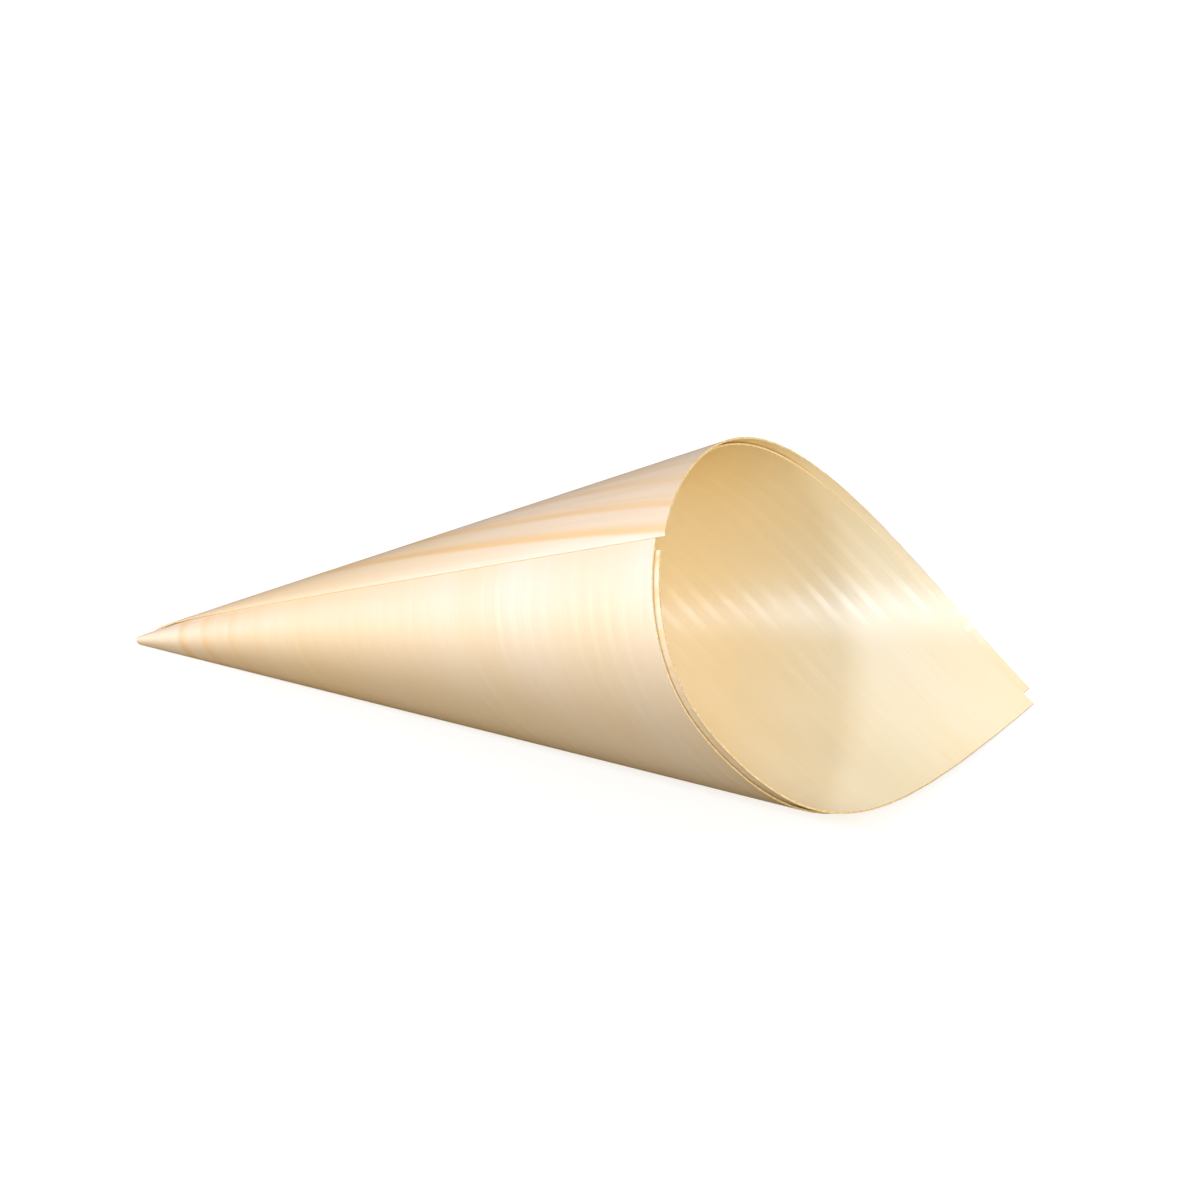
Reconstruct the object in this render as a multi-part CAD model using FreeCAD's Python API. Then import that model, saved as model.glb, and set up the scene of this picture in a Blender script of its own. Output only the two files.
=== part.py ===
"""Food cone rolled from one rectangular sheet of thin wood veneer.

The sheet is about twice as long as it is wide. It is rolled two turns about a point in the middle of one
long side, so the wall is double all round, and its two far corners lie on each other as a pointed flap.
The cone lies on its side, as it comes to rest: the flap is underneath, and the flat spot that the thin
wood has where it touches the ground runs along +X, from the tip to the flap. +Z is up.

The sheet's own coordinates: the point that becomes the tip is at (0, 0), the long side through it is
y = 0, the outermost turn starts at the corner (OUTER_REACH, 0) and the innermost turn ends at the corner
(-INNER_REACH, 0). A ruling is a line of the sheet that stays straight when the sheet is rolled. Rulings
are named by their angle from the outer half of the long side, from near 0 to a half turn.
"""
import FreeCAD, Part
import math
import os

# ---- driving dimensions (mm, degrees) ----------------------------------------------------------------
SHEET_WIDTH = 125.0        # from the long side with the tip to the other long side
OUTER_REACH = 131.0        # from the tip to the outer free corner, along the long side
INNER_REACH = 125.2        # from the tip to the inner free corner, along the long side
OUTER_END_LEAN = -0.7      # how far the outer short end leans out of square
INNER_END_LEAN = 1.0       # how far the inner short end leans out of square
VENEER_THICKNESS = 0.4
LAYER_GAP = 0.2            # air between two turns
HALF_ANGLE = 14.45         # between the cone's axis and its wall
TIP_START = 1.2            # length of each ruling that is missing at the tip, where the roll is tightest
FREE_EDGE_TURN = 174.3     # from straight down round the axis to the outer free edge
GROUND_PRESS = 0.0085      # share of the radius by which the underside is pressed flat

# The springy veneer isn't quite round: each wave is lobes, share of the radius, turn of one crest. Turns
# are degrees round the axis from straight down.
SECTION_WAVES = (
    (2, 0.034, -20.1),
    (3, 0.032, 70.0),
    (4, 0.0105, 22.3),
)

# ---- how finely the faces are drawn ------------------------------------------------------------------
STATIONS_PER_SPAN = 20     # rulings that each face is passed through
SEWING_TOLERANCE = 0.0001

# ---- worked out --------------------------------------------------------------------------------------
FULL_TURN = 2.0 * math.pi
SIN_HALF = math.sin(math.radians(HALF_ANGLE))
COS_HALF = math.cos(math.radians(HALF_ANGLE))
TURNS = math.pi / SIN_HALF / FULL_TURN
LAYER_PITCH = VENEER_THICKNESS + LAYER_GAP
# Each turn lies one pitch outside the next, so the rulings aren't all through the tip. They touch a
# small circle of this radius below the long side, and the last ruling runs along the long side.
RULING_CIRCLE = LAYER_PITCH * COS_HALF / (FULL_TURN * SIN_HALF ** 2)
OUTER_LEAN_RATE = math.tan(math.radians(OUTER_END_LEAN))
INNER_LEAN_RATE = math.tan(math.radians(INNER_END_LEAN))
# A face is this many times wider at the rim than at the tip.
RIM_TO_TIP = SHEET_WIDTH / TIP_START
FAR_CORNER_OUTER = OUTER_REACH + OUTER_LEAN_RATE * SHEET_WIDTH
FAR_CORNER_INNER = INNER_REACH + INNER_LEAN_RATE * SHEET_WIDTH


def springy_radius(turn):
    """Radius of the section before it is pressed on the ground, as a share of the round cone's."""
    return 1.0 + sum(
        share * math.cos(lobes * (turn - math.radians(crest))) for lobes, share, crest in SECTION_WAVES
    )


def drop(turn):
    """How far below the axis that section is, as a share of the round cone's radius."""
    return springy_radius(turn) * math.cos(turn)


LOWEST_TURN = max([math.radians(degrees) for degrees in range(-30, 31)], key=drop)
GROUND_LEVEL = drop(LOWEST_TURN) - GROUND_PRESS
GROUND_SLOPE = math.atan(GROUND_LEVEL * SIN_HALF / COS_HALF)


def flat_spot_edge(outward):
    """Turn at which the section meets the ground, on the side that the sign of outward gives."""
    inside, outside = LOWEST_TURN, LOWEST_TURN + outward
    while abs(outside - inside) > 1e-9:
        middle = (inside + outside) / 2.0
        if drop(middle) > GROUND_LEVEL:
            inside = middle
        else:
            outside = middle
    return inside


def section(turn):
    """Radius of the cross-section at an angle round the axis, as a share of the round cone's."""
    if drop(turn) > GROUND_LEVEL:
        return GROUND_LEVEL / math.cos(turn)
    return springy_radius(turn)


def rolled(ruling, along, depth):
    """Place of a point after rolling. depth is 0 on the inside face and the thickness on the outside."""
    angle_rolled = ruling / SIN_HALF
    rise = LAYER_PITCH * (TURNS - angle_rolled / FULL_TURN)
    turn = math.radians(FREE_EDGE_TURN) - angle_rolled
    radius = (along * SIN_HALF + depth * COS_HALF) * section(turn)
    axial = along * COS_HALF - rise / SIN_HALF - depth * SIN_HALF
    return FreeCAD.Vector(axial, radius * math.sin(turn), -radius * math.cos(turn))


def ruling_through(x, y):
    """Ruling that passes through a point of the sheet."""
    up = y + RULING_CIRCLE
    along = math.sqrt(x * x + up * up - RULING_CIRCLE ** 2)
    return math.atan2(up, x) + math.atan2(RULING_CIRCLE, along)


def near_end(ruling):
    """Where a ruling starts: on the outer half of the long side, or at the tip."""
    return max(RULING_CIRCLE / math.tan(ruling / 2.0), TIP_START)


def far_end(ruling):
    """Where a ruling ends: on the outer short end, the far long side or the inner short end."""
    across, up = math.cos(ruling), math.sin(ruling)
    origin_x = RULING_CIRCLE * up
    origin_y = -RULING_CIRCLE * (1.0 + across)
    ends = []
    if up > 1e-9:
        ends.append((SHEET_WIDTH - origin_y) / up)
    to_outer_end = across - OUTER_LEAN_RATE * up
    if to_outer_end > 0.0:
        ends.append((OUTER_REACH + OUTER_LEAN_RATE * origin_y - origin_x) / to_outer_end)
    to_inner_end = -across - INNER_LEAN_RATE * up
    if to_inner_end > 0.0:
        ends.append((INNER_REACH + INNER_LEAN_RATE * origin_y + origin_x) / to_inner_end)
    return min(ends)


def curve_through(points):
    """Cubic B-spline through evenly timed points."""
    times = [i / (len(points) - 1) for i in range(len(points))]
    curve = Part.BSplineCurve()
    curve.interpolate(Points=points, Parameters=times)
    return curve


def ruled_face(near, far, widening=1.0):
    """Face of straight lines between two curves that have the same knots.

    On a face that widens, the near curve has that much more weight. The face's own coordinates are then
    like a view in perspective of the flat sheet, in which what is straight stays straight.
    """
    surface = Part.BSplineSurface()
    surface.buildFromPolesMultsKnots(
        [near.getPoles(), far.getPoles()],
        [2, 2], near.getMultiplicities(),
        [0.0, 1.0], near.getKnots(),
        False, False, 1, near.Degree,
        [[widening] * near.NbPoles, [1.0] * far.NbPoles],
    )
    return surface.toShape()


def span_faces(start, end):
    """Faces between two rulings: inside, outside, and the veneer's cut edges at both their ends."""
    steps = STATIONS_PER_SPAN - 1
    rulings = [start * (end / start) ** (i / steps) for i in range(STATIONS_PER_SPAN)]
    near_inside, far_inside, near_outside, far_outside = [
        curve_through([rolled(ruling, end_of(ruling), depth) for ruling in rulings])
        for depth in (0.0, VENEER_THICKNESS) for end_of in (near_end, far_end)
    ]
    return [
        ruled_face(near_inside, far_inside, RIM_TO_TIP), ruled_face(near_outside, far_outside, RIM_TO_TIP),
        ruled_face(near_inside, near_outside), ruled_face(far_inside, far_outside),
    ]


def inner_free_edge():
    """Cut edge of the veneer along the last ruling."""
    near, far = near_end(math.pi), far_end(math.pi)
    corners = [
        rolled(math.pi, near, 0.0), rolled(math.pi, far, 0.0),
        rolled(math.pi, far, VENEER_THICKNESS), rolled(math.pi, near, VENEER_THICKNESS),
    ]
    return Part.Face(Part.makePolygon(corners + corners[:1]))


def creases():
    """Rulings along the edges of the flat spot, once for each turn of the roll."""
    free_edge = math.radians(FREE_EDGE_TURN)
    edges = [flat_spot_edge(outward) for outward in (-math.pi / 4.0, math.pi / 4.0)]
    return [(free_edge - edge + FULL_TURN * turn) * SIN_HALF for edge in edges for turn in range(round(TURNS))]


def rolled_sheet():
    """The whole sheet as one solid."""
    outer_corner = ruling_through(OUTER_REACH, 0.0)
    outer_far_corner = ruling_through(FAR_CORNER_OUTER, SHEET_WIDTH)
    tip_corner = 2.0 * math.atan(RULING_CIRCLE / TIP_START)
    inner_far_corner = ruling_through(-FAR_CORNER_INNER, SHEET_WIDTH)
    breaks = sorted([outer_corner, outer_far_corner, tip_corner, inner_far_corner, math.pi] + creases())
    faces = [inner_free_edge()]
    for start, end in zip(breaks[:-1], breaks[1:]):
        faces += span_faces(start, end)
    skin = Part.makeCompound(faces)
    skin.sewShape(SEWING_TOLERANCE)
    solid = Part.makeSolid(skin.Shells[0])
    if solid.Volume < 0.0:
        solid.reverse()
    return solid


def lay_down(shape):
    """Turn the flat spot level, set it on z = 0 and centre the cone over the origin."""
    shape.rotate(FreeCAD.Vector(0, 0, 0), FreeCAD.Vector(0, 1, 0), -math.degrees(GROUND_SLOPE))
    box = shape.optimalBoundingBox(False, False)
    shape.translate(FreeCAD.Vector(-box.Center.x, -box.Center.y, -box.ZMin))
    return shape


os.makedirs("parts", exist_ok=True)
veneer = lay_down(rolled_sheet())
veneer.exportStep("parts/rolled_veneer_sheet.step")
box = veneer.optimalBoundingBox(False, False)
print("solids", len(veneer.Solids), "valid", veneer.isValid(), "closed", veneer.Shells[0].isClosed())
print("volume mm3", round(veneer.Volume, 1), "area mm2", round(veneer.Area, 1))
print("size mm", round(box.XLength, 2), round(box.YLength, 2), round(box.ZLength, 2))
print("centre of mass mm", [round(value, 2) for value in veneer.Solids[0].CenterOfMass])
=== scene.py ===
"""Looks of a food cone that is rolled from one rectangular sheet of pine veneer.

The whole object is one piece, a fine mesh of the rolled sheet. It is made on the flat sheet and rolled by
the same rule as the solid that it replaces. Its flat coordinates, in millimetres, drive the wood: the grain
runs along x, the long way of the sheet.
"""
import bmesh
import bpy
import math
import numpy as np
from mathutils import Matrix, Vector


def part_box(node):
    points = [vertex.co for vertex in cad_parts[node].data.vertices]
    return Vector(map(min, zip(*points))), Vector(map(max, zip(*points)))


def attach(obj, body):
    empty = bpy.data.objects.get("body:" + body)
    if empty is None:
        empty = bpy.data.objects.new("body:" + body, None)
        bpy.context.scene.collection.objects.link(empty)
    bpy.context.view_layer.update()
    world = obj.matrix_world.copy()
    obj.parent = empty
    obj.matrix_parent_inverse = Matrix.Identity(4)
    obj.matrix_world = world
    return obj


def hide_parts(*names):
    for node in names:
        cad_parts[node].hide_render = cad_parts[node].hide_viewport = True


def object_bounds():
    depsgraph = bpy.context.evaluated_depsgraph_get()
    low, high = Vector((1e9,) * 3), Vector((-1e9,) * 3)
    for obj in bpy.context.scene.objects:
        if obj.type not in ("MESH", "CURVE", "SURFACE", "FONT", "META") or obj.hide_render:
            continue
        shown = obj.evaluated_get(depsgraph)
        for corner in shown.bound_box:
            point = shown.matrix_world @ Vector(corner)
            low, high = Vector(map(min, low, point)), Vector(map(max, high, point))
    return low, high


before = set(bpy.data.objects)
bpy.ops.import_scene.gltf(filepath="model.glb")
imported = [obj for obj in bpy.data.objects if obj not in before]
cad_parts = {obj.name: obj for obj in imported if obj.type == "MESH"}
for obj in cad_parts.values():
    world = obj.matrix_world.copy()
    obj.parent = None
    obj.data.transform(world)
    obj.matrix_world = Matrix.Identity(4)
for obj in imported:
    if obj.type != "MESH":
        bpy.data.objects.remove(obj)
cad_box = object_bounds()

MM = 0.001
NODE = "rolled_veneer_sheet"

# ---- the sheet and its roll (mm, degrees), as in the part's source -------------------------------------
SHEET_WIDTH = 125.0
OUTER_REACH = 131.0
INNER_REACH = 125.2
OUTER_END_LEAN = -0.7
INNER_END_LEAN = 1.0
VENEER_THICKNESS = 0.4
LAYER_GAP = 0.2
HALF_ANGLE = 14.45
TIP_START = 1.2
FREE_EDGE_TURN = 174.3
GROUND_PRESS = 0.0085
SECTION_WAVES = ((2, 0.034, -20.1), (3, 0.032, 70.0), (4, 0.0105, 22.3))
PRESS_SOFTNESS = 0.0012    # share of the radius over which the flat spot's edges are rounded
EDGE_LAID = 4.0            # mm of the free long edge that bend down to the layer below
EDGE_WORN = 1.2            # mm of that edge over which its outer face is worn round
EDGE_WEAR = 0.24           # mm that the wear takes off at the edge
RAGGED = 0.12              # mm by which the ends cut across the grain are torn

SIN_HALF = math.sin(math.radians(HALF_ANGLE))
COS_HALF = math.cos(math.radians(HALF_ANGLE))
FULL_TURN = 2.0 * math.pi
TURNS = math.pi / SIN_HALF / FULL_TURN
LAYER_PITCH = VENEER_THICKNESS + LAYER_GAP
RULING_CIRCLE = LAYER_PITCH * COS_HALF / (FULL_TURN * SIN_HALF ** 2)
OUTER_LEAN_RATE = math.tan(math.radians(OUTER_END_LEAN))
INNER_LEAN_RATE = math.tan(math.radians(INNER_END_LEAN))

# ---- the mesh ------------------------------------------------------------------------------------------
COLUMNS = 360              # rulings round the roll
ROWS = 128                 # steps along each ruling
ROW_CROWDING = 0.85        # under 1, the rows crowd towards the rim

# ---- the wood (mm on the flat sheet) -------------------------------------------------------------------
# Late wood: its sharp side in mm from the long side with the tip, its width, its strength.
LATE_WOOD = ((10.9, 3.2, 0.85), (16.8, 3.2, 0.70), (19.4, 1.2, 0.25), (23.8, 3.2, 0.42), (30.4, 2.6, 0.30))
GROWTH_BOW = 0.00042       # mm that the growth lines bow, per square mm from the sheet's middle
GROWTH_SHIFT = 3.4         # mm that they climb besides, from the middle outwards
GROWTH_WANDER = 1.4        # mm over which they wander
RIPPLE_PITCH = 3.5         # mm between the marks of the slicing knife, which run along the grain
RIPPLE_HEIGHT = 0.060      # mm that a ridge would stand up, before it fades in patches
RIPPLE_CLIMB = 0.62        # share of the pitch on the ridge's longer side
RIPPLE_ROUNDING = 0.5      # how far the ridge's top is rounded
FIBRE_HEIGHT = 0.012       # mm that single fibres stand up

# Golden tone: a point of the sheet's right half, two distances from it and the shares of the tone there.
# Outside it makes the wood darker and more golden near the tip; inside it is painted shade, the warm shade
# deep in the cone, paler towards the flap's corners.
OUTER_GOLD = (0.0, 0.0, 45.0, 105.0, 0.36, 0.0)                   # near the tip
# painted shade: golden tone deep inside the cone
INNER_GOLD_PAINTED_SHADE = (INNER_REACH, SHEET_WIDTH, 38.0, 78.0, 0.0, 0.60)    # away from the flap's corners
# Its fading at the tip: two distances from the tip and the factor at the nearer one.
OUTER_TIP_FADE = (8.0, 30.0, 0.0)
INNER_SHADE_TIP_FADE = (100.0, 122.0, 0.25)
# How the faces shine: roughness and index of refraction.
OUTER_SHINE = (0.46, 1.5)
INNER_SHINE = (0.32, 1.65)
CUT_ROUGHNESS = 0.7


def springy_radius(turn):
    """Radius of the section before it is pressed on the ground, as a share of the round cone's."""
    return 1.0 + sum(
        share * np.cos(lobes * (turn - math.radians(crest))) for lobes, share, crest in SECTION_WAVES
    )


def ground_level():
    """How far below the axis the flat spot is, as a share of the round cone's radius."""
    turns = np.radians(np.arange(-30.0, 31.0))
    return float((springy_radius(turns) * np.cos(turns)).max()) - GROUND_PRESS


GROUND_LEVEL = ground_level()
GROUND_SLOPE = math.atan(GROUND_LEVEL * SIN_HALF / COS_HALF)


def section(turn):
    """Radius of the cross-section at an angle round the axis, with the flat spot's edges rounded."""
    free = springy_radius(turn)
    downward = np.cos(turn)
    pressed = np.where(downward > 0.5, GROUND_LEVEL / np.maximum(downward, 0.5), 2.0)
    return free - PRESS_SOFTNESS * np.logaddexp(0.0, (free - pressed) / PRESS_SOFTNESS)


def rolled(ruling, along, depth):
    """Place of points after rolling, in mm, with the cone's axis along x and the ground side at -z."""
    angle_rolled = ruling / SIN_HALF
    rise = LAYER_PITCH * (TURNS - angle_rolled / FULL_TURN)
    turn = math.radians(FREE_EDGE_TURN) - angle_rolled
    radius = (along * SIN_HALF + depth * COS_HALF) * section(turn)
    axial = along * COS_HALF - rise / SIN_HALF - depth * SIN_HALF
    return np.stack([axial, radius * np.sin(turn), -radius * np.cos(turn)], axis=-1)


def on_sheet(ruling, along):
    """The sheet's flat coordinates of points on its rulings."""
    x = RULING_CIRCLE * np.sin(ruling) + along * np.cos(ruling)
    y = along * np.sin(ruling) - RULING_CIRCLE * (1.0 + np.cos(ruling))
    return x, y


def near_end(ruling):
    """Where a ruling starts: on the outer half of the long side, or at the tip."""
    return np.maximum(RULING_CIRCLE / np.tan(ruling / 2.0), TIP_START)


def far_end(ruling):
    """Where a ruling ends: on the outer short end, the far long side or the inner short end."""
    across, up = np.cos(ruling), np.sin(ruling)
    origin_x = RULING_CIRCLE * up
    origin_y = -RULING_CIRCLE * (1.0 + across)
    beyond = 1e9
    to_outer = across - OUTER_LEAN_RATE * up
    to_inner = -across - INNER_LEAN_RATE * up
    outer = (OUTER_REACH + OUTER_LEAN_RATE * origin_y - origin_x) / np.where(to_outer > 1e-6, to_outer, 1.0)
    inner = (INNER_REACH + INNER_LEAN_RATE * origin_y + origin_x) / np.where(to_inner > 1e-6, to_inner, 1.0)
    side = (SHEET_WIDTH - origin_y) / np.maximum(up, 1e-9)
    outer = np.where(to_outer > 1e-6, outer, beyond)
    inner = np.where(to_inner > 1e-6, inner, beyond)
    return np.minimum(np.minimum(outer, inner), side)


def corner_rulings():
    """Rulings through the outer free corner and through the two far corners."""
    corners = (
        (OUTER_REACH, 0.0),
        (OUTER_REACH + OUTER_LEAN_RATE * SHEET_WIDTH, SHEET_WIDTH),
        (-INNER_REACH - INNER_LEAN_RATE * SHEET_WIDTH, SHEET_WIDTH),
    )
    found = []
    for x, y in corners:
        up = y + RULING_CIRCLE
        along = math.sqrt(x * x + up * up - RULING_CIRCLE ** 2)
        found.append(math.atan2(up, x) + math.atan2(RULING_CIRCLE, along))
    return found


def column_rulings():
    """Rulings of the mesh: evenly spaced, with one through each corner of the sheet."""
    stops = corner_rulings() + [math.pi]
    rulings = [np.array([stops[0]])]
    for start, end in zip(stops[:-1], stops[1:]):
        count = max(2, round(COLUMNS * (end - start) / (stops[-1] - stops[0])))
        rulings.append(np.linspace(start, end, count + 1)[1:])
    return np.concatenate(rulings)


def smooth_step(share):
    """Smooth rise from 0 to 1."""
    share = np.clip(share, 0.0, 1.0)
    return share * share * (3.0 - 2.0 * share)


def torn(x, y):
    """How far fibres are torn back from an end that is cut across them, in mm."""
    coarse = np.sin(y * 0.83 + 0.4) * np.sin(y * 0.31 + 1.1)
    fine = np.sin(y * 2.3 + 2.0 * np.sin(y * 0.4))
    across = smooth_step((SHEET_WIDTH - y) / 2.0) * smooth_step(np.abs(x) - 100.0)
    return RAGGED * across * np.clip(0.45 * coarse + 0.35 * fine + 0.1, 0.0, 1.0)


def make_sheet():
    """The rolled sheet as one closed mesh, with its flat coordinates as a UV map."""
    rulings = column_rulings()
    shares = np.linspace(0.0, 1.0, ROWS + 1) ** ROW_CROWDING
    ruling = np.repeat(rulings[:, None], ROWS + 1, axis=1)
    near, far = near_end(ruling), far_end(ruling)
    far = far - torn(*on_sheet(ruling, far))
    along = near + (far - near) * shares[None, :]
    x, y = on_sheet(ruling, along)
    free_side = smooth_step((x - 6.0) / 24.0)
    sunk = 0.9 * LAYER_GAP * (1.0 - smooth_step(y / EDGE_LAID)) * free_side
    worn = EDGE_WEAR * np.clip(1.0 - y / EDGE_WORN, 0.0, 1.0) ** 2 * free_side
    inside = rolled(ruling, along, -sunk)
    outside = rolled(ruling, along, VENEER_THICKNESS - sunk - worn)
    slope = Matrix.Rotation(-GROUND_SLOPE, 3, "Y")
    points = np.concatenate([inside.reshape(-1, 3), outside.reshape(-1, 3)]) @ np.array(slope).T
    flat = np.stack([x, y], axis=-1).reshape(-1, 2)
    flat = np.concatenate([flat, flat])

    columns, rows = len(rulings), ROWS + 1
    index = np.arange(columns * rows).reshape(columns, rows)
    shift = columns * rows

    def quads(a, b, c, d):
        return np.stack([a.ravel(), b.ravel(), c.ravel(), d.ravel()], axis=-1)

    first, second = index[:-1, :], index[1:, :]
    faces = np.concatenate([
        quads(first[:, :-1], first[:, 1:], second[:, 1:], second[:, :-1]),
        quads(first[:, :-1], second[:, :-1], second[:, 1:], first[:, 1:]) + shift,
        quads(first[:, 0], second[:, 0], second[:, 0] + shift, first[:, 0] + shift),
        quads(second[:, -1], first[:, -1], first[:, -1] + shift, second[:, -1] + shift),
        quads(index[-1, :-1], index[-1, 1:], index[-1, 1:] + shift, index[-1, :-1] + shift),
    ])
    walls = 2 * first[:, :-1].size
    mesh = bpy.data.meshes.new("veneer_cone")
    mesh.from_pydata((points * MM).tolist(), [], faces.tolist())
    layer = mesh.uv_layers.new(name="flat_sheet")
    corners = np.zeros(len(mesh.loops), dtype=np.int32)
    mesh.loops.foreach_get("vertex_index", corners)
    layer.data.foreach_set("uv", flat[corners].astype(np.float32).ravel())
    skin = np.zeros(len(faces), dtype=np.int32)
    skin[:walls // 2] = 1
    skin[walls:] = 2
    mesh.polygons.foreach_set("material_index", skin)

    work = bmesh.new()
    work.from_mesh(mesh)
    bmesh.ops.remove_doubles(work, verts=work.verts, dist=1e-7)
    bmesh.ops.recalc_face_normals(work, faces=work.faces)
    work.to_mesh(mesh)
    work.free()
    mesh.shade_smooth()
    mesh.set_sharp_from_angle(angle=math.radians(40.0))
    return mesh


def seat(mesh):
    """Move the mesh to where the solid is: centred over it, on the same ground."""
    low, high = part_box(NODE)
    points = np.zeros(len(mesh.vertices) * 3, dtype=np.float32)
    mesh.vertices.foreach_get("co", points)
    points = points.reshape(-1, 3)
    own_low, own_high = points.min(0), points.max(0)
    points[:, 0] += (low.x + high.x) / 2.0 - (own_low[0] + own_high[0]) / 2.0
    points[:, 1] += (low.y + high.y) / 2.0 - (own_low[1] + own_high[1]) / 2.0
    points[:, 2] += low.z - own_low[2]
    mesh.vertices.foreach_set("co", points.ravel())
    mesh.update()


# ---- materials -----------------------------------------------------------------------------------------
def rgb(red, green, blue):
    """An sRGB colour as a linear one."""
    return tuple(((c / 255.0 + 0.055) / 1.055) ** 2.4 for c in (red, green, blue)) + (1.0,)


# GOLDEN_TONE: darker golden wood near the tip outside, and painted shade deep inside the cone
GOLDEN_TONE = rgb(244, 211, 140)
AMONG_LINES_TONE = rgb(246, 220, 184)
LATE_WOOD_TONE = rgb(248, 208, 144)
FIBRE_TONE = rgb(240, 210, 164)


class Nodes:
    """Short calls for building a material's nodes."""

    def __init__(self, name):
        self.material = bpy.data.materials.new(name)
        self.material.use_nodes = True
        self.tree = self.material.node_tree
        self.shader = self.tree.nodes["Principled BSDF"]
        self.output = self.tree.nodes["Material Output"]

    def add(self, kind, **inputs):
        node = self.tree.nodes.new(kind)
        for name, value in inputs.items():
            self.put(node.inputs[name.replace("_", " ")], value)
        return node

    def put(self, socket, value):
        if isinstance(value, bpy.types.NodeSocket):
            self.tree.links.new(value, socket)
        else:
            socket.default_value = value

    def math(self, operation, a, b=0.0, c=0.0):
        node = self.tree.nodes.new("ShaderNodeMath")
        node.operation = operation
        for socket, value in zip(node.inputs, (a, b, c)):
            self.put(socket, value)
        return node.outputs[0]

    def between(self, value, low, high, to_low=0.0, to_high=1.0):
        """Smooth step of a value from one range to another."""
        node = self.tree.nodes.new("ShaderNodeMapRange")
        node.interpolation_type = "SMOOTHSTEP"
        for name, number in (
            ("Value", value), ("From Min", low), ("From Max", high), ("To Min", to_low), ("To Max", to_high),
        ):
            self.put(node.inputs[name], number)
        return node.outputs["Result"]

    def blend(self, share, first, second):
        """Mix of two colours."""
        node = self.tree.nodes.new("ShaderNodeMix")
        node.data_type = "RGBA"
        self.put(node.inputs[0], share)
        self.put(node.inputs[6], first)
        self.put(node.inputs[7], second)
        return node.outputs[2]

    def noise(self, where, scale, detail=2.0, roughness=0.5):
        node = self.add("ShaderNodeTexNoise", Vector=where, Scale=scale, Detail=detail, Roughness=roughness)
        return node.outputs["Fac"]

    def distance(self, where, point):
        node = self.tree.nodes.new("ShaderNodeVectorMath")
        node.operation = "DISTANCE"
        self.put(node.inputs[0], where)
        node.inputs[1].default_value = point
        return node.outputs["Value"]

    def stretched(self, where, x, y):
        """Coordinates scaled along the grain and across it."""
        node = self.tree.nodes.new("ShaderNodeMapping")
        self.put(node.inputs["Vector"], where)
        node.inputs["Scale"].default_value = (x, y, 1.0)
        return node.outputs["Vector"]


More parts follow.
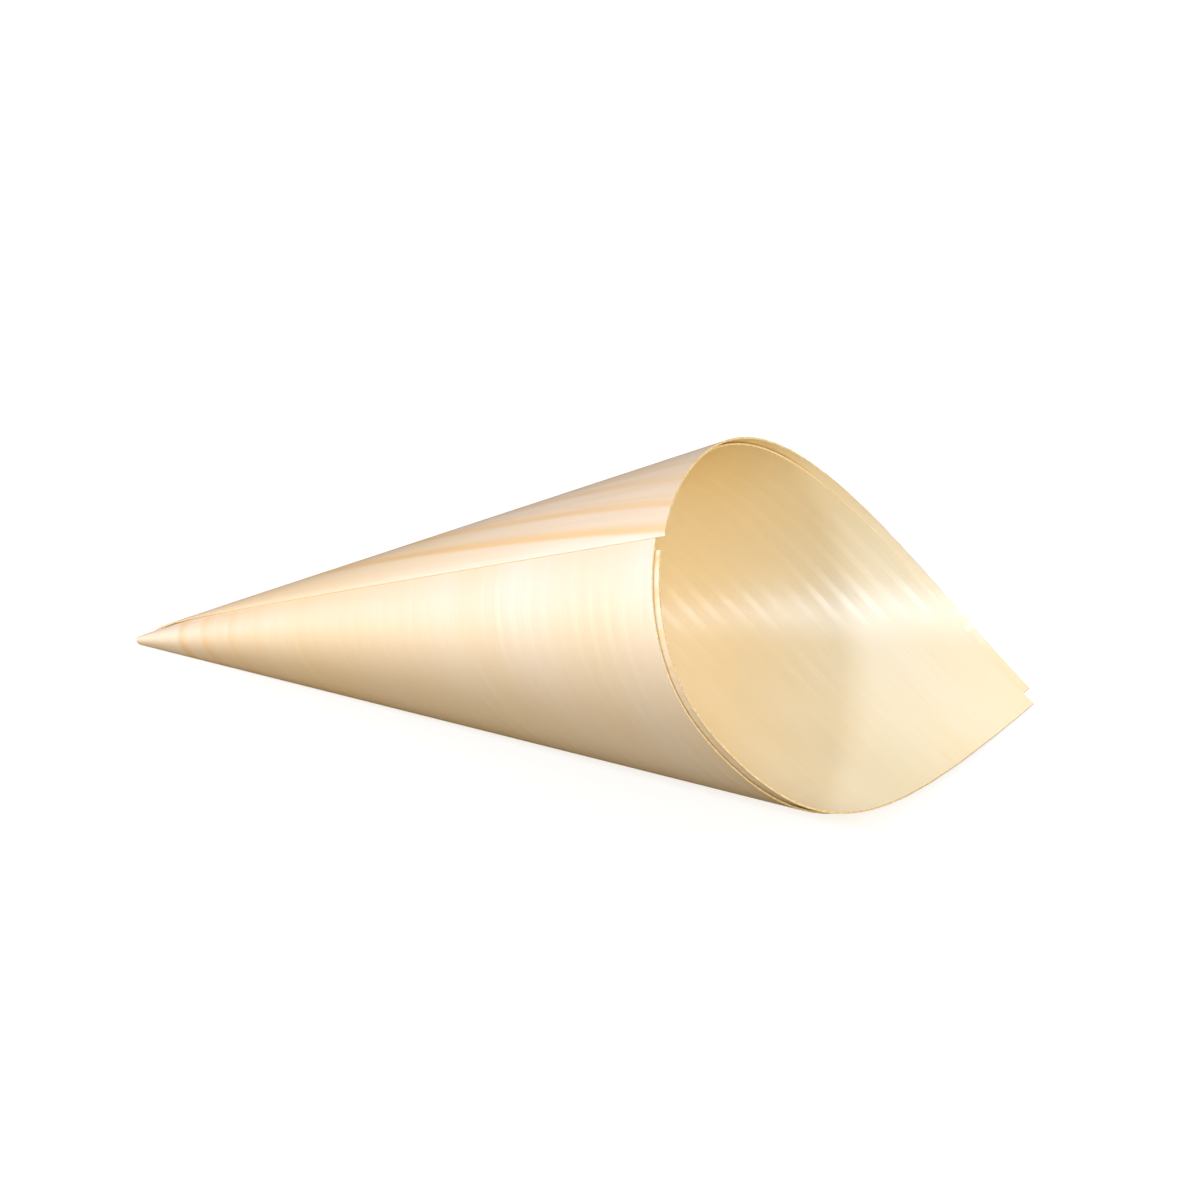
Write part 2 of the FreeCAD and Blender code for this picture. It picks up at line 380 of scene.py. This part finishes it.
def pine(name, pale, deep, golden, tip_fade, shine):
    """Pale pine veneer, its grain along the sheet's x, its colour between a pale and a deep tone.

    golden, tip_fade and shine are as the values above say. The sheet's left half mirrors the golden tone. On
    the inner face that tone is painted shade, the warm shade deep in the cone.
    """
    n = Nodes(name)
    uv = n.tree.nodes.new("ShaderNodeUVMap")
    uv.uv_map = "flat_sheet"
    flat = uv.outputs["UV"]
    split = n.add("ShaderNodeSeparateXYZ", Vector=flat)
    x, y = split.outputs["X"], split.outputs["Y"]

    # The growth lines bow towards the sheet's middle and wander a little.
    sideways = n.math("ABSOLUTE", x)
    climbed = n.between(sideways, 4.0, 48.0, 0.0, GROWTH_SHIFT)
    bow = n.math("MULTIPLY_ADD", n.math("MULTIPLY", x, x), GROWTH_BOW, climbed)
    drift = n.math("SUBTRACT", n.noise(n.stretched(flat, 0.02, 0.03), 1.0), 0.5)
    wander = n.math("MULTIPLY", drift, GROWTH_WANDER)
    line = n.math("ADD", n.math("ADD", y, bow), wander)

    clouds = n.noise(n.stretched(flat, 0.012, 0.05), 1.0, 3.0)
    colour = n.blend(n.between(clouds, 0.3, 0.7), deep, pale)
    # Golden share by place on the sheet: darker golden wood near the tip outside, painted shade deep in the
    # cone inside.
    from_x, from_y, start, end, start_share, end_share = golden
    mirrored = n.add("ShaderNodeCombineXYZ", X=sideways, Y=y).outputs[0]
    tone = n.between(n.distance(mirrored, (from_x, from_y, 0.0)), start, end, start_share, end_share)
    tip_start, tip_end, tip_factor = tip_fade
    from_tip = n.distance(flat, (0.0, 0.0, 0.0))
    gold_and_painted_shade = n.math("MULTIPLY", tone, n.between(from_tip, tip_start, tip_end, tip_factor, 1.0))
    colour = n.blend(gold_and_painted_shade, colour, GOLDEN_TONE)
    first, last = LATE_WOOD[0][0], LATE_WOOD[-1][0]
    past_first = n.between(line, first - 1.0, first + 1.0)
    before_last = n.between(line, last - 4.0, last + 4.0, 0.35, 0.0)
    colour = n.blend(n.math("MULTIPLY", past_first, before_last), colour, AMONG_LINES_TONE)
    reach = n.between(sideways, 8.0, 70.0, 0.7, 1.0)
    for sharp_side, width, strength in LATE_WOOD:
        rise = n.between(line, sharp_side - 0.2, sharp_side + 0.25 * width)
        fall = n.between(line, sharp_side + 0.25 * width, sharp_side + width, 1.0, 0.0)
        band = n.math("MULTIPLY", n.math("MULTIPLY", rise, fall), n.math("MULTIPLY", reach, strength))
        colour = n.blend(band, colour, LATE_WOOD_TONE)
    fibres = n.noise(n.stretched(flat, 0.06, 4.0), 1.0, 3.0, 0.6)
    colour = n.blend(n.between(fibres, 0.35, 0.75, 0.0, 0.22), colour, FIBRE_TONE)
    n.put(n.shader.inputs["Base Color"], colour)
    roughness, refraction = shine
    n.shader.inputs["Roughness"].default_value = roughness
    n.shader.inputs["Specular IOR Level"].default_value = 1.0
    n.shader.inputs["IOR"].default_value = refraction

    # The knife leaves low ridges with one steep side.
    turned = n.math("FRACT", n.math("DIVIDE", n.math("ADD", y, wander), RIPPLE_PITCH))
    climb = n.math("DIVIDE", turned, RIPPLE_CLIMB)
    drop = n.math("DIVIDE", n.math("SUBTRACT", 1.0, turned), 1.0 - RIPPLE_CLIMB)
    ridge = n.math("SMOOTH_MIN", climb, drop, RIPPLE_ROUNDING)
    patchy = n.between(n.noise(n.stretched(flat, 0.02, 0.07), 1.0, 2.0), 0.3, 0.7, 0.25, 1.0)
    fine = n.noise(n.stretched(flat, 0.15, 9.0), 1.0, 2.0)
    relief = n.math("MULTIPLY", n.math("MULTIPLY", ridge, patchy), RIPPLE_HEIGHT)
    height = n.math("ADD", relief, n.math("MULTIPLY", fine, FIBRE_HEIGHT))
    bump = n.add("ShaderNodeBump", Height=height, Distance=MM, Strength=1.0)
    n.put(n.shader.inputs["Normal"], bump.outputs["Normal"])
    return n.material


def cut_wood():
    """The veneer's cut edge: a touch drier than its face. Its colour, darker and more golden than the face,
    is painted shade along the rims and in the gaps between the layers.
    """
    n = Nodes("pine_cut_edge_painted_shade")
    uv = n.tree.nodes.new("ShaderNodeUVMap")
    uv.uv_map = "flat_sheet"
    grain = n.noise(n.stretched(uv.outputs["UV"], 1.2, 1.2), 1.0, 3.0)
    # Painted shade: the cut edge's tones are darker and more golden than the face's.
    colour = n.blend(n.between(grain, 0.35, 0.65), rgb(232, 200, 148), rgb(245, 222, 180))
    n.put(n.shader.inputs["Base Color"], colour)
    n.shader.inputs["Roughness"].default_value = CUT_ROUGHNESS
    return n.material


# ---- stage ---------------------------------------------------------------------------------------------
CENTRE = (Vector(cad_box[0]) + Vector(cad_box[1])) / 2.0
VIEW_AZIMUTH = -67.85      # degrees from +X, of the camera as seen from the cone
VIEW_ELEVATION = 73.75
VIEW_ROLL = 19.7           # the camera's top leans this far to the right of straight up
VIEW_DISTANCE = 0.6603
VIEW_AIM = CENTRE + Vector((0.00687, 0.00282, 0.0))
SENSOR = 36.0
LENS = 104.15

DAYLIGHT = (0.80, 0.95, 1.22)
WINDOW = (0.92, 0.87, 1.36)
COOL = (0.95, 1.0, 1.10)
NEUTRAL = (1.0, 0.94, 0.84)
WARM = (1.0, 0.80, 0.33)
WARMER = (1.0, 0.76, 0.36)
# Name, direction from the cone as right, up and back in the view, distance (m), size (m), power (W), colour.
LAMPS = (
    ("overhead", (0.05, -0.04, 1.00), 1.6, 0.34, 4.3, DAYLIGHT),
    ("upper_right", (0.60, 0.42, 0.68), 1.4, 0.90, 11.0, COOL),
    ("upper_left", (-0.46, 0.79, 0.42), 1.4, 0.90, 3.8, NEUTRAL),
    ("left", (-0.90, 0.35, 0.27), 1.4, 0.90, 5.2, WINDOW),
    ("key", (-0.54, 0.20, 0.82), 1.5, 0.12, 5.7, DAYLIGHT),
    ("low_left", (-0.80, -0.12, 0.60), 1.4, 0.80, 8.6, WARMER),
    ("low_right", (0.80, -0.16, 0.60), 1.4, 0.90, 8.2, WARM),
)


def view_axes():
    """The camera's right, up and back directions."""
    azimuth, elevation = math.radians(VIEW_AZIMUTH), math.radians(VIEW_ELEVATION)
    roll = math.radians(VIEW_ROLL)
    back = Vector((
        math.cos(elevation) * math.cos(azimuth),
        math.cos(elevation) * math.sin(azimuth),
        math.sin(elevation),
    ))
    level_right = Vector((0.0, 0.0, 1.0)).cross(back).normalized()
    level_up = back.cross(level_right)
    up = level_up * math.cos(roll) + level_right * math.sin(roll)
    right = up.cross(back)
    return right, up, back


def add_camera():
    right, up, back = view_axes()
    data = bpy.data.cameras.new("camera")
    data.sensor_width = SENSOR
    data.lens = LENS
    data.clip_start = 0.01
    camera = bpy.data.objects.new("camera", data)
    turn = Matrix((right, up, back)).transposed()
    camera.matrix_world = Matrix.Translation(VIEW_AIM + back * VIEW_DISTANCE) @ turn.to_4x4()
    bpy.context.scene.collection.objects.link(camera)
    bpy.context.scene.camera = camera


def add_lamp(name, towards, distance, size, power, colour):
    """A square soft lamp, aimed at the cone from a direction given as right, up and back in the view."""
    right, up, back = view_axes()
    direction = (right * towards[0] + up * towards[1] + back * towards[2]).normalized()
    data = bpy.data.lights.new(name, "AREA")
    data.size = size
    data.energy = power
    data.color = colour
    lamp = bpy.data.objects.new(name, data)
    lamp.location = CENTRE + direction * distance
    lamp.rotation_euler = direction.to_track_quat("Z", "Y").to_euler()
    bpy.context.scene.collection.objects.link(lamp)


def add_floor():
    """A wide pale floor. It shows white to the camera apart from the cone's shadow."""
    half = 3.0
    mesh = bpy.data.meshes.new("floor")
    corners = [(-half, -half, 0), (half, -half, 0), (half, half, 0), (-half, half, 0)]
    mesh.from_pydata(corners, [], [(0, 1, 2, 3)])
    floor = bpy.data.objects.new("floor", mesh)
    floor.location.z = cad_box[0][2]
    bpy.context.scene.collection.objects.link(floor)
    n = Nodes("floor")
    n.shader.inputs["Base Color"].default_value = (0.07, 0.04, 0.02, 1.0)
    n.shader.inputs["Roughness"].default_value = 0.9
    n.shader.inputs["Specular IOR Level"].default_value = 0.1
    rays = n.tree.nodes.new("ShaderNodeLightPath")
    white = n.add("ShaderNodeBsdfDiffuse", Color=(0.5, 0.5, 0.5, 1.0))
    place = n.tree.nodes.new("ShaderNodeTexCoord").outputs["Object"]
    away = n.add("ShaderNodeVectorMath", Vector=place)
    away.operation = "LENGTH"
    strength = n.between(away.outputs["Value"], 0.25, 0.9, 0.62, 1.0)
    glow = n.add("ShaderNodeEmission", Color=(1.0, 1.0, 1.0, 1.0), Strength=strength)
    seen = n.tree.nodes.new("ShaderNodeAddShader")
    n.put(seen.inputs[0], white.outputs[0])
    n.put(seen.inputs[1], glow.outputs[0])
    pick = n.tree.nodes.new("ShaderNodeMixShader")
    n.put(pick.inputs[0], rays.outputs["Is Camera Ray"])
    n.put(pick.inputs[1], n.shader.outputs[0])
    n.put(pick.inputs[2], seen.outputs[0])
    n.put(n.output.inputs["Surface"], pick.outputs[0])
    mesh.materials.append(n.material)


def add_world():
    """A faint warm light from all round, and a white ground behind the floor."""
    world = bpy.data.worlds.new("studio")
    bpy.context.scene.world = world
    world.use_nodes = True
    tree = world.node_tree
    light = tree.nodes["Background"]
    light.inputs["Color"].default_value = WARM + (1.0,)
    light.inputs["Strength"].default_value = 0.08
    seen = tree.nodes.new("ShaderNodeBackground")
    seen.inputs["Color"].default_value = (1.0, 1.0, 1.0, 1.0)
    seen.inputs["Strength"].default_value = 1.0
    rays = tree.nodes.new("ShaderNodeLightPath")
    pick = tree.nodes.new("ShaderNodeMixShader")
    tree.links.new(rays.outputs["Is Camera Ray"], pick.inputs[0])
    tree.links.new(light.outputs[0], pick.inputs[1])
    tree.links.new(seen.outputs[0], pick.inputs[2])
    tree.links.new(pick.outputs[0], tree.nodes["World Output"].inputs["Surface"])


bpy.context.scene.view_settings.view_transform = "Standard"

veneer = make_sheet()
seat(veneer)
veneer.materials.append(
    pine("pine_veneer", rgb(251, 238, 218), rgb(249, 231, 199), OUTER_GOLD, OUTER_TIP_FADE, OUTER_SHINE)
)
# The inner face: its pale and deep tones are a little more golden than the outer face's, painted shade of the
# cone's inside.
veneer.materials.append(
    pine("pine_veneer_inner_painted_shade", rgb(251, 239, 213), rgb(249, 233, 197), INNER_GOLD_PAINTED_SHADE, INNER_SHADE_TIP_FADE, INNER_SHINE)
)
veneer.materials.append(cut_wood())
cone = bpy.data.objects.new("veneer_cone", veneer)
bpy.context.scene.collection.objects.link(cone)
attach(cone, "root")
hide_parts(NODE)

add_floor()
add_world()
for lamp in LAMPS:
    add_lamp(*lamp)
add_camera()
